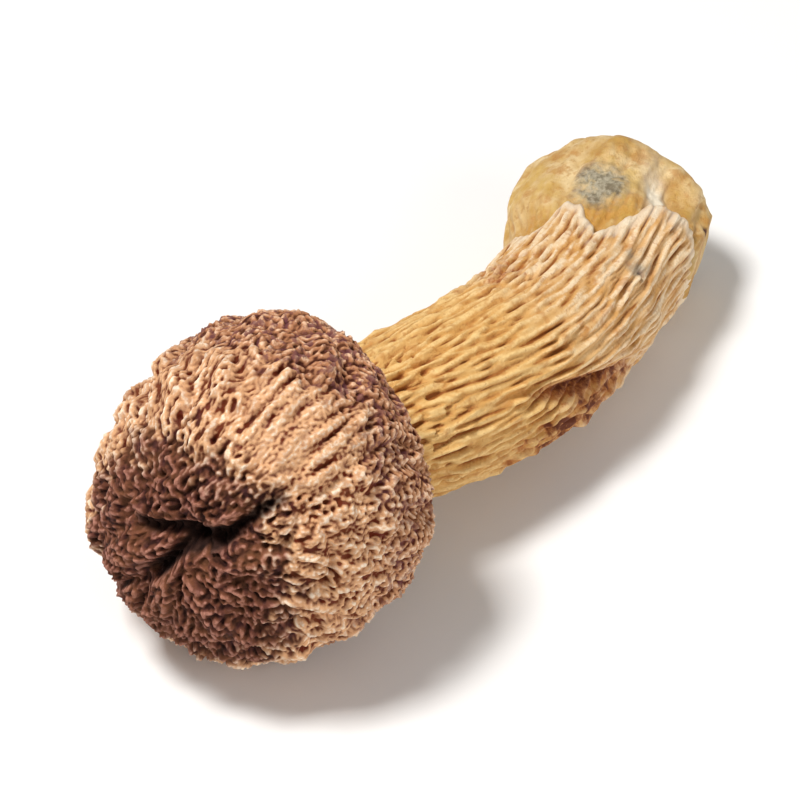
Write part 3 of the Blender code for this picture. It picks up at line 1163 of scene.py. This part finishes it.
    def build(self) -> list[Object]:
        """Builds and dresses the three pieces of the skin.

        Returns:
            The pieces, from the crown to the rim.
        """
        skin, values = self.surface()
        names = ("cap_crown_skin", "cap_side_skin", "cap_rim_skin")
        seams = [int(seam / self.spacing) for seam in self.seams]
        ends = (*seams, len(values[Value.SKIN]) - 1)
        material = CapFinish().build()
        pieces = []
        for name, start, end in zip(names, (0, *seams), ends):
            pieces.append(self.cut_out(name, start, end, skin, values))
            dress(pieces[-1], material)
        return pieces

    def cut_out(
        self, name: str, start: int, end: int, skin: tuple[Array, ...], values: dict[Value, Array]
    ) -> Object:
        """Makes one closed piece of the skin, with its ends sunk under the pieces beside it.

        Args:
            name: the piece's name.
            start: the ring that it starts at.
            end: the ring that it ends at.
            skin: the turn, radius, distance along the axis, height and way out of the points.
            values: what the points carry.

        Returns:
            The piece.
        """
        form = self.form
        turn, radius, along, out, out_radius, out_along = skin
        rim = len(radius) - 1
        overlap = len(self.seam_depths)
        rows = np.arange(max(0, start - overlap), min(rim, end + overlap) + 1)
        beyond = np.maximum(start - rows, rows - end).clip(0)
        sunk = np.interp(beyond, np.arange(overlap + 1), (0, *self.seam_depths))[:, None]
        height = out[rows] - sunk
        outer = radius[rows] + out_radius[rows] * height
        rings = form.place(along[rows] + out_along[rows] * height, turn, outer)
        last_pole = self.back if end == rim else along[rows[-1], 0]
        first, last = form.poles(along[rows[0], 0] + self.pole_depth, last_pole + self.pole_depth)
        if start == 0:
            first = rings[0].mean(axis=0)
        if end == rim:
            rings = np.concatenate([rings, form.place(self.back, turn, form.lip)])
        values = {value: field[rows] for value, field in values.items()}
        return closed_piece(name, rings, first, last, values)


@dataclass
class Gills:
    """The gills inside the rolled rim, and the flesh between them.

    A blade's size is its length inwards from the rim, its thickness and its height. Every second blade
    is short, by shares of the full length and height.
    """

    form: Form
    columns: int = 240
    bed_rings: int = 14
    bed_back: float = 19.8 * MM
    bed_drop: float = 0.6 * MM
    bed_overlap: float = 0.4 * MM
    neck_overlap: float = 0.6 * MM
    count: int = 150
    blade_size: tuple[float, float, float] = (4.6 * MM, 0.26 * MM, 4.4 * MM)
    blade_points: tuple[int, int, int] = (7, 2, 5)
    blade_drop: float = 1.1 * MM
    blade_overlap: float = 0.5 * MM
    short_length: float = 0.5
    short_height: float = 0.93
    wobble: float = 0.3
    tilt: tuple[float, float, float] = (0.1, 0.0, 0.09)
    lean: float = 0.55
    wave_size: float = 0.9 * MM
    wave_height: float = 0.12 * MM
    seed: int = 4

    def build_bed(self, material: bpy.types.Material) -> Object:
        """Builds and dresses the flesh between the gills, closed by a flat back inside the cap.

        Args:
            material: its material.

        Returns:
            The piece.
        """
        form = self.form
        turn = around(self.columns)
        share = np.linspace(0, 1, self.bed_rings)[:, None]
        outer = form.lip + self.bed_overlap
        radius = between(outer, form.neck_radius - self.neck_overlap, share)
        rise = form.gill_bed_height * np.sin(math.pi / 2 * share)
        along = form.cap_height - self.bed_drop - rise
        rings = np.concatenate([form.place(self.bed_back, turn, outer), form.place(along, turn, radius)])
        piece = closed_piece("gill_bed", rings, *form.poles(self.bed_back, along[-1, 0]))
        dress(piece, material)
        return piece

    def blade(self, tree: Tree, size: Socket) -> Socket:
        """Builds the nodes of one blade, which leans and bellies a little.

        Args:
            tree: the node tree.
            size: the blade's size.

        Returns:
            The blade, with its outer end at the middle.
        """
        blade = add(tree, "GeometryNodeMeshCube", size, *self.blade_points)
        half = add(tree, MATH, add(tree, SEPARATE, size, out="X"), -0.5, **TIMES)
        blade = add(tree, SET_POSITION, blade, None, None, add(tree, COMBINE, half, 0.0, 0.0))
        from_rim = add(tree, SEPARATE, add(tree, "GeometryNodeInputPosition"), out="X")
        wave = add(tree, MATH, add(tree, MATH, from_rim, 1 / self.wave_size, **TIMES), operation="SINE")
        belly = add(tree, MATH, wave, self.wave_height, **TIMES)
        drop = add(tree, MATH, from_rim, self.lean, **TIMES)
        return add(tree, SET_POSITION, blade, None, None, add(tree, COMBINE, 0.0, belly, drop))

    def tree(self) -> Tree:
        """Builds the node tree that sets blades round a ring, every second one short.

        Returns:
            The tree.
        """
        tree = bpy.data.node_groups.new("gill_ring", "GeometryNodeTree")
        tree.interface.new_socket("Geometry", in_out="OUTPUT", socket_type="NodeSocketGeometry")
        for kind, names in (
            ("Int", ("Count", "Seed")),
            ("Float", ("Short Length", "Radius")),
            ("Vector", ("Blade Size", "Middle", "Ahead", "Side", "Up")),
            ("Material", ("Material",)),
        ):
            for name in names:
                tree.interface.new_socket(name, in_out="INPUT", socket_type="NodeSocket" + kind)
        given = tree.nodes.new("NodeGroupInput").outputs
        index = add(tree, "GeometryNodeInputIndex")
        wobble = add(tree, RANDOM, -self.wobble, self.wobble, None, given["Seed"], data_type="FLOAT")
        turned = add(tree, MATH, add(tree, MATH, index, wobble), given["Count"], operation="DIVIDE")
        angle = add(tree, MATH, turned, 2 * math.pi, **TIMES)
        cosine = add(tree, MATH, angle, operation="COSINE")
        sine = add(tree, MATH, angle, operation="SINE")
        across = add(tree, VECTOR, given["Side"], cosine, operation="SCALE")
        upward = add(tree, VECTOR, given["Up"], sine, operation="SCALE")
        outward = add(tree, VECTOR, across, upward)
        reach = add(tree, VECTOR, outward, given["Radius"], operation="SCALE")
        ring = add(tree, "GeometryNodePoints", given["Count"], add(tree, VECTOR, given["Middle"], reach))

        toward = {"primary_axis": "Z", "secondary_axis": "X"}
        facing = add(tree, "FunctionNodeAxesToRotation", given["Ahead"], outward, **toward)
        least = tuple(-part for part in self.tilt)
        tilt = add(tree, RANDOM, least, self.tilt, None, given["Seed"], data_type="FLOAT_VECTOR")
        tilt = add(tree, "FunctionNodeEulerToRotation", tilt)
        facing = add(tree, "FunctionNodeRotateRotation", facing, tilt, rotation_space="LOCAL")
        odd = add(tree, MATH, index, 2.0, operation="MODULO")
        length = add(tree, RANGE, odd, 0.0, 1.0, 1.0, given["Short Length"])
        height = add(tree, RANGE, odd, 0.0, 1.0, 1.0, self.short_height)
        scale = add(tree, COMBINE, length, 1.0, height)
        blade = self.blade(tree, given["Blade Size"])
        blades = add(tree, "GeometryNodeInstanceOnPoints", ring, None, blade, None, None, facing, scale)
        blades = add(tree, "GeometryNodeRealizeInstances", blades)
        blades = add(tree, "GeometryNodeSetMaterial", blades, None, given["Material"])
        tree.links.new(blades, tree.nodes.new("NodeGroupOutput").inputs[0])
        return tree

    def build_blades(self, material: bpy.types.Material) -> Object:
        """Builds and dresses the gills.

        Args:
            material: their material.

        Returns:
            The piece.
        """
        form = self.form
        along = np.array([form.cap_height - self.blade_drop])
        ahead = form.direction(along)[0]
        side, up = (way[0] for way in form.crosswise(along))
        wide, high = form.squash(along[0])
        middle = form.on_axis(along)[0] + np.array([*form.centring, 0])
        given = {
            "Count": self.count,
            "Blade Size": self.blade_size,
            "Short Length": self.short_length,
            "Radius": form.lip + self.blade_overlap,
            "Middle": tuple(middle - ahead * self.blade_size[2] / 2),
            "Ahead": tuple(ahead),
            "Side": tuple(side * wide),
            "Up": tuple(up * high),
            "Seed": self.seed,
            "Material": material,
        }
        piece = grown_by(self.tree(), "gill_plates", given)
        dress(piece, material)
        return piece

    def build(self) -> list[Object]:
        """Builds the bed and the gills."""
        material = GillFinish().build()
        return [self.build_bed(material), self.build_blades(material)]


def grown_by(tree: Tree, name: str, given: dict[str, Any]) -> Object:
    """Runs a geometry node tree once and keeps what it makes as a plain mesh.

    Args:
        tree: the tree.
        name: the piece's name.
        given: the tree's inputs, by their names.

    Returns:
        The object, without the modifier.
    """
    piece = linked(name, bpy.data.meshes.new(name))
    modifier = piece.modifiers.new(name, "NODES")
    modifier.node_group = tree
    for item in tree.interface.items_tree:
        if item.in_out == "INPUT":
            modifier[item.identifier] = given[item.name]
    made = bpy.data.meshes.new_from_object(piece.evaluated_get(bpy.context.evaluated_depsgraph_get()))
    piece.modifiers.clear()
    piece.data = made
    return piece


@dataclass
class Stem:
    """The ribbed skin of the stem, from inside the cap to its torn edge over the foot.

    A scorch is an angle, a distance from the crown and a size. A tongue of the torn edge is an angle, its
    half width in degrees and how far it reaches past the edge. Distances are in millimetres there. The
    edge is rounded off in steps, each of a depth and a width.
    """

    form: Form
    columns: int = 520
    rows: int = 188
    start: float = 19.5 * MM
    back: float = 60.0 * MM
    rib_wrinkle: float = 1.0 * MM
    rib_height: float = 0.28 * MM
    broad_rib_wrinkle: float = 2.1 * MM
    broad_rib_heights: tuple[float, float] = (0.24 * MM, 0.12 * MM)
    coarse_rib_height: float = 0.25 * MM
    rib_stretch: float = 3.4
    crumple_wrinkle: float = 0.7 * MM
    crumple_height: float = 0.09 * MM
    lump_wrinkle: float = 1.8 * MM
    lump_height: float = 0.45 * MM
    cap_fade: float = 6.0 * MM
    slots_end: float = 38.0 * MM
    slot_depth: float = 0.5 * MM
    cream_start: float = 50.0 * MM
    cream_fade: float = 14.0 * MM
    skin_drop: float = 0.25 * MM
    lip_height: float = 0.15 * MM
    lip_width: float = 0.9 * MM
    edge_roundings: tuple[tuple[float, float], ...] = ((0.3 * MM, 0.6 * MM), (0.35 * MM, 3.0 * MM))
    edge_glow: float = 3.2 * MM
    scorches: tuple[tuple[float, float, float], ...] = ((205, 57, 1.0), (58, 59, 0.6))
    tongues: tuple[tuple[float, float, float], ...] = ((72, 18, 3.4), (101, 13, -2.2), (146, 18, 1.7))
    stain: Spot = Spot(134, 71.0 * MM, 2.2 * MM)
    hole: Spot = Spot(139, 70.4 * MM, 0.45 * MM)
    hole_depth: float = 0.8 * MM
    skin_thickness: float = 1.6 * MM

    def edge(self, angle: Array) -> Array:
        """Where the skin ends: the solid's edge, with finer tears.

        Args:
            angle: angles round the axis.

        Returns:
            A distance from the crown for each angle.
        """
        ring = np.stack([np.cos(angle), np.sin(angle), 0 * angle], axis=-1) * self.form.waist_radius
        tears = 2.2 * cloud(ring, 3.5 * MM, (1.4, 0, 0.5)) + 1.6 * cloud(ring, 1.3 * MM, (0, 2.9, 0.5))
        for degrees, width, reach in self.tongues:
            tears = tears + reach * bump(turn_from(angle, math.radians(degrees)), math.radians(width))
        return self.form.torn_edge(angle) + tears * MM

    def scorch(self, turn: Array, along: Array) -> Array:
        """Where the skin is scorched: dark brown and lumpy.

        Args:
            turn: angles round the axis.
            along: distances from the crown.

        Returns:
            The share of scorched skin.
        """
        scorch = np.zeros_like(along)
        for degrees, distance, size in self.scorches:
            aside = bump(turn_from(turn, math.radians(degrees)), 0.35 + 0.2 * size)
            scorch = scorch + size * aside * bump(along - distance * MM, 11 * size * MM)
        return scorch

    def wrinkles(self, grid: RingGrid) -> tuple[Array, ...]:
        """Grows the wrinkles.

        Args:
            grid: the rings on which they grow.

        Returns:
            The fine ribs, the broad ribs, the crumpling and the lumps, each between -1 and 1.
        """
        stretch = self.rib_stretch
        fine = grid.grown((Wrinkles(self.rib_wrinkle, stretch),), seed=23, unrest=1.0, rounds=6)
        broad = grid.grown((Wrinkles(self.broad_rib_wrinkle, stretch),), seed=8, unrest=0.8, rounds=8)
        crumple = grid.grown((Wrinkles(self.crumple_wrinkle, 2.5),), seed=41, unrest=0.9, rounds=2)
        lumps = grid.grown((Wrinkles(self.lump_wrinkle, 1.2),), seed=51, unrest=0.9, rounds=5)
        return pleated(fine, 0.5), pleated(broad), crumple, lumps

    def build(self) -> Object:
        """Builds and dresses the skin.

        Returns:
            The piece.
        """
        form = self.form
        angle = around(self.columns)
        edge = self.edge(angle)
        along = between(self.start, edge, np.linspace(0, 1, self.rows)[:, None])
        waver = 0.025 * np.sin(along / (9 * MM) + 3 * angle) + 0.01 * np.sin(along / (4.1 * MM) - 5 * angle)
        turn = angle + waver
        base = form.stem_radius(along)
        grid = RingGrid(base.mean(axis=1), (edge.mean() - self.start) / self.rows, self.columns)
        fine, broad, crumple, lumps = self.wrinkles(grid)
        fold = form.stem_fold(turn, along)
        scorch = self.scorch(turn, along)
        hole = self.hole.share(turn, along, form.waist_radius)
        from_edge = edge - along
        under_cap = smooth((along - form.cap_height + form.gill_bed_height) / self.cap_fade)
        near_cap = 1 - smooth((along - self.slots_end) / self.cap_fade)
        slots = smooth((-lumps - 0.4) / 0.35) * near_cap * under_cap
        cream = smooth((along - self.cream_start) / self.cream_fade)

        patchy = cloud(form.place(along, turn, base), 3.4 * MM, (0, 6.1, 0))
        strength = np.clip(0.85 + 1.2 * patchy, 0.3, 1.6)
        ribs = self.rib_height * fine + between(*self.broad_rib_heights, cream) * broad
        ribs = (ribs + self.crumple_height * crumple) * (strength + scorch)
        calm = under_cap * between(0.5, 1.0, smooth(from_edge / (4 * MM)))
        out = (self.coarse_rib_height * form.stem_ribs(turn, along) + ribs) * calm
        out = out + self.lump_height * lumps * scorch - self.slot_depth * slots
        out = out - form.fold_depth * fold - self.skin_drop - self.hole_depth * hole
        out = out + self.lip_height * bump(from_edge - self.lip_width, self.lip_width)
        for depth, width in self.edge_roundings:
            out = out - depth * (1 - smooth(from_edge / width))
        rings = form.place(along, turn, base + out)
        inner = form.place(edge - 0.2 * MM, turn[-1:], (base + out)[-1:] - self.skin_thickness)

        ragged = 1 + 0.9 * cloud(rings, 1.6 * MM, (0, 3.3, 0))
        values = {
            # The relief picks the groove colour, partly painted shade, also in the slots near the cap, and
            # the ridge colour, partly painted highlight.
            Value.RELIEF: 0.8 * fine + 0.35 * broad + 0.2 * crumple - 0.9 * slots,
            Value.CREAM: cream,
            Value.EDGE: bump(from_edge, self.edge_glow) * ragged,
            # The fold and the hole are darkened partly as painted shade; the scorched skin is dark of
            # itself.
            Value.FOLD: np.maximum(np.maximum(fold, hole), (0.75 - 0.3 * lumps) * scorch * ragged),
            Value.PATCH: self.stain.share(turn, along, form.waist_radius) * ragged,
        }
        poles = form.poles(self.start, self.back)
        piece = closed_piece("stem_skin", np.concatenate([rings, inner]), *poles, values)
        dress(piece, StemFinish().build())
        return piece


@dataclass
class Foot:
    """The smooth swollen foot below the torn skin."""

    form: Form
    columns: int = 300
    rows: int = 190
    start: float = 62.0 * MM
    fibre_wrinkle: float = 1.1 * MM
    dent_wrinkle: float = 4.5 * MM
    dent_height: float = 0.34 * MM
    small_dent_wrinkle: float = 1.9 * MM
    crumb_wrinkle: float = 1.0 * MM
    crumb_height: float = 0.14 * MM
    rib_height: float = 0.05 * MM
    fibre_heights: tuple[float, float] = (0.03 * MM, 0.14 * MM)
    under_skin_depth: float = 3.0 * MM
    closing_run: float = 6.0 * MM
    stain: Spot = Spot(88, 80.5 * MM, 4.2 * MM, squeeze=0.9)
    holes: tuple[Spot, ...] = (Spot(168, 86 * MM, 0.7 * MM), Spot(188, 82 * MM, 0.42 * MM))
    hole_depth: float = 0.7 * MM
    streak_degrees: float = 144
    streak_twist_degrees: float = 2.2
    streak_width: float = 0.17
    streak_height: float = 0.5 * MM

    def build(self) -> Object:
        """Builds and dresses the flesh.

        Returns:
            The piece.
        """
        form = self.form
        turn = around(self.columns)
        share = np.linspace(0, 1, self.rows + 1)[:-1]
        eased = 1 - (1 - np.clip(2 * share - 1, 0, 1)) ** 2
        along = between(self.start, form.length, 0.86 * share + 0.14 * eased)[:, None]
        base = form.stem_radius(along)
        spacing = (form.length - self.start) / self.rows
        grid = RingGrid(np.maximum(base[:, 0], 0.5 * MM), spacing, self.columns)
        fibres = grid.grown((Wrinkles(self.fibre_wrinkle, 3.0),), seed=31, unrest=1.0, rounds=5)
        dents = grid.grown((Wrinkles(self.dent_wrinkle, 1.3),), seed=3, unrest=0.9, rounds=5)
        small = grid.grown((Wrinkles(self.small_dent_wrinkle, 1.3),), seed=17, unrest=1.0, rounds=3)
        crumbs = grid.grown((Wrinkles(self.crumb_wrinkle),), seed=61, unrest=1.0, rounds=3)
        dents = dents + 0.4 * small
        twist = (along - form.skin_edge) / MM * math.radians(self.streak_twist_degrees)
        aside = turn_from(turn, math.radians(self.streak_degrees) - twist)
        pale = bump(aside, self.streak_width) * bump(along - form.foot_middle + 5 * MM, 7 * MM)
        stain = self.stain.share(turn, along, form.foot_radius)
        hole = sum(spot.share(turn, along, form.foot_radius) for spot in self.holes)
        closing = 1 - smooth((along - form.length) / self.closing_run + 1)
        under_skin = 1 - smooth((along - form.torn_edge(turn) + 7 * MM) / (4 * MM))
        below_edge = bump(along - form.torn_edge(turn) - 1.5 * MM, 3.5 * MM)

        small = between(*self.fibre_heights, below_edge) * fibres + self.dent_height * dents
        small = small + self.streak_height * pale
        out = form.foot_lumps(turn, along) + self.rib_height * form.stem_ribs(turn, along) + small
        out = out * closing - form.edge_step - self.under_skin_depth * under_skin
        out = out + self.crumb_height * crumbs * stain - self.hole_depth * hole
        rings = form.place(along, turn, np.maximum(base + out, 0.0))
        side, up = form.crosswise(along)
        whole = form.on_axis(along) + side * ((base + out) * np.cos(turn))[..., None]
        whole = whole + up * ((base + out) * np.sin(turn))[..., None]
        values = {
            # The fibres pick the groove colour, partly painted shade.
            Value.RELIEF: fibres,
            Value.PATCH: stain,
            # Where the holes are, for their painted shade.
            Value.HOLE: hole,
            Value.CUT: smooth(form.past_cut(whole) / (1.5 * MM)),
            Value.EDGE: below_edge,
            Value.CREAM: pale,
        }
        piece = closed_piece("foot_flesh", rings, form.poles(self.start)[0], rings[-1].mean(axis=0), values)
        dress(piece, FootFinish().build())
        return piece


def fit_to_solid(pieces: Sequence[Object], low: Sequence[float], high: Sequence[float]) -> None:
    """Draws all pieces together, by a hair's breadth, to fill just the solid's box.

    Args:
        pieces: the finished pieces.
        low: the box's lowest corner.
        high: the box's highest corner.
    """
    places = []
    for piece in pieces:
        flat = np.empty(len(piece.data.vertices) * 3)
        piece.data.vertices.foreach_get("co", flat)
        places.append(flat.reshape(-1, 3))
    lowest = np.min([place.min(axis=0) for place in places], axis=0)
    highest = np.max([place.max(axis=0) for place in places], axis=0)
    for piece, place in zip(pieces, places):
        fitted = np.array(low) + (place - lowest) * (np.array(high) - low) / (highest - lowest)
        piece.data.vertices.foreach_set("co", fitted.ravel())
        piece.data.update()


@dataclass(frozen=True)
class Light:
    """A square soft light that faces the mushroom, placed to the camera's right, nearer and higher."""

    name: str
    right: float
    near: float
    higher: float
    size: float
    power: float
    colour: str


@dataclass
class Studio:
    """The pale floor, the soft lights and the camera."""

    azimuth: float = -48
    elevation: float = 43
    lens: float = 185
    span: float = 88.0 * MM
    target: tuple[float, float, float] = (-5.0 * MM, 0.9 * MM, 13.2 * MM)
    clip_start: float = 10.0 * MM
    lights: tuple[Light, ...] = (
        Light("key", -0.25, 0.05, 0.6, 0.16, 4.3, "#fffdfa"),
        Light("fill", 0.5, 0.5, 0.35, 0.5, 2.2, "#fffaf4"),
    )
    floor_reach: float = 3.0
    floor_colour: str = "#f2f2f2"
    floor_roughness: float = 0.8
    world_colour: str = "#ffffff"
    world_strength: float = 0.27

    def build_camera(self) -> None:
        """Places the camera at the photograph's view of the mushroom."""
        data = bpy.data.cameras.new("camera")
        data.lens = self.lens
        data.clip_start = self.clip_start
        turn, rise = math.radians(self.azimuth), math.radians(self.elevation)
        back = Vector((math.sin(turn) * math.cos(rise), -math.cos(turn) * math.cos(rise), math.sin(rise)))
        camera = linked("camera", data)
        camera.location = Vector(self.target) + back * (self.span * self.lens / data.sensor_width)
        camera.rotation_euler = (-back).to_track_quat("-Z", "Y").to_euler()
        bpy.context.scene.camera = camera

    def build_lights(self) -> None:
        """Adds the soft lights."""
        turn = math.radians(self.azimuth)
        right = Vector((math.cos(turn), math.sin(turn), 0))
        near = Vector((math.sin(turn), -math.cos(turn), 0))
        for light in self.lights:
            data = bpy.data.lights.new(light.name, "AREA")
            data.size = light.size
            data.energy = light.power
            data.color = linear(light.colour)[:3]
            place = right * light.right + near * light.near + Vector((0, 0, light.higher))
            lamp = linked(light.name, data)
            lamp.location = Vector(self.target) + place
            lamp.rotation_euler = (-place).to_track_quat("-Z", "Y").to_euler()

    def build_world(self) -> None:
        """Surrounds the mushroom with even white light."""
        world = bpy.data.worlds.new("studio")
        world.use_nodes = True
        background = world.node_tree.nodes["Background"]
        background.inputs["Color"].default_value = linear(self.world_colour)
        background.inputs["Strength"].default_value = self.world_strength
        bpy.context.scene.world = world
        bpy.context.scene.view_settings.view_transform = "Standard"

    def build_floor(self) -> None:
        """Builds a smooth matte white floor."""
        reach = self.floor_reach
        corners = [(-reach, -reach, 0), (reach, -reach, 0), (reach, reach, 0), (-reach, reach, 0)]
        mesh = bpy.data.meshes.new("floor")
        mesh.from_pydata(corners, [], [(0, 1, 2, 3)])
        material = bpy.data.materials.new("studio_floor")
        material.use_nodes = True
        shader = material.node_tree.nodes["Principled BSDF"]
        shader.inputs["Base Color"].default_value = linear(self.floor_colour)
        shader.inputs["Roughness"].default_value = self.floor_roughness
        mesh.materials.append(material)
        linked("floor", mesh)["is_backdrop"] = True

    def build(self) -> None:
        """Builds the whole studio."""
        self.build_camera()
        self.build_lights()
        self.build_world()
        self.build_floor()


def main() -> None:
    """Builds the mushroom piece by piece, then the studio."""
    logging.basicConfig(level=logging.INFO, format="%(message)s")
    solid_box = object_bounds()
    form = Form()
    pieces = [*Cap(form).build(), *Gills(form).build(), Stem(form).build(), Foot(form).build()]
    fit_to_solid(pieces, *solid_box)
    Studio().build()
    boxes = {"solid": solid_box, "dressed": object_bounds()}
    boxes = {name: [[float(part) for part in corner] for corner in box] for name, box in boxes.items()}
    log.info("boxes: %s", boxes)


if __name__ == "__main__":
    main()
